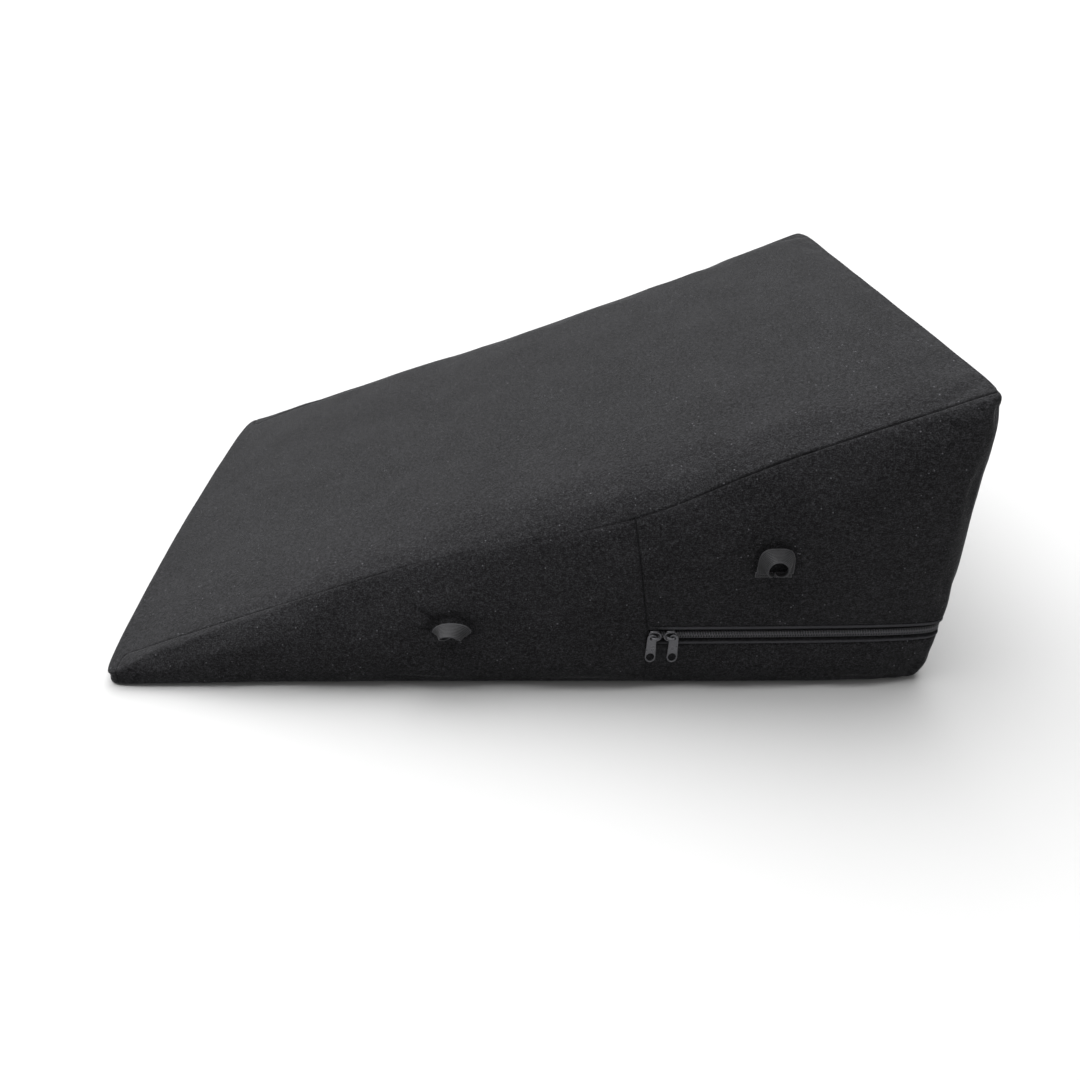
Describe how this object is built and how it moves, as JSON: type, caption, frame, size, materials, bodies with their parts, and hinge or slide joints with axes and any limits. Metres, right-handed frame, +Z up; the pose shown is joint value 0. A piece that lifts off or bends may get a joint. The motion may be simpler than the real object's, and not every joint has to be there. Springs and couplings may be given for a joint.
{
  "type": "positioning cushion",
  "caption": "Wedge-shaped foam positioning cushion in a fitted brushed cover, with a zip round the heel and ribbon loops on both long sides.",
  "frame": {"origin": "middle of the footprint, on the surface that the cushion rests on", "axes": "+X along the length towards the tall heel, -Y to the long side that shows the zip's sliders, +Z up"},
  "size_m": [0.5999, 0.47, 0.2223],
  "materials": {
    "cover": "charcoal brushed polyester with a short soft nap",
    "ribbon": "dark ribbed ribbon, slight sheen",
    "zip_tape": "black woven tape",
    "zip_coil": "dark nylon coil",
    "zip_metal": "dark grey enamel, semi-gloss"
  },
  "bodies": {
    "root": {"cushion": "cover", "zip_tape": "zip_tape", "zip_coil": "zip_coil", "slider_left": "zip_metal", "slider_right": "zip_metal", "pull_left": "zip_metal", "pull_right": "zip_metal", "loop_near_front": "ribbon", "loop_near_rear": "ribbon", "loop_far_front": "ribbon", "loop_far_rear": "ribbon"}
  },
  "joints": []
}
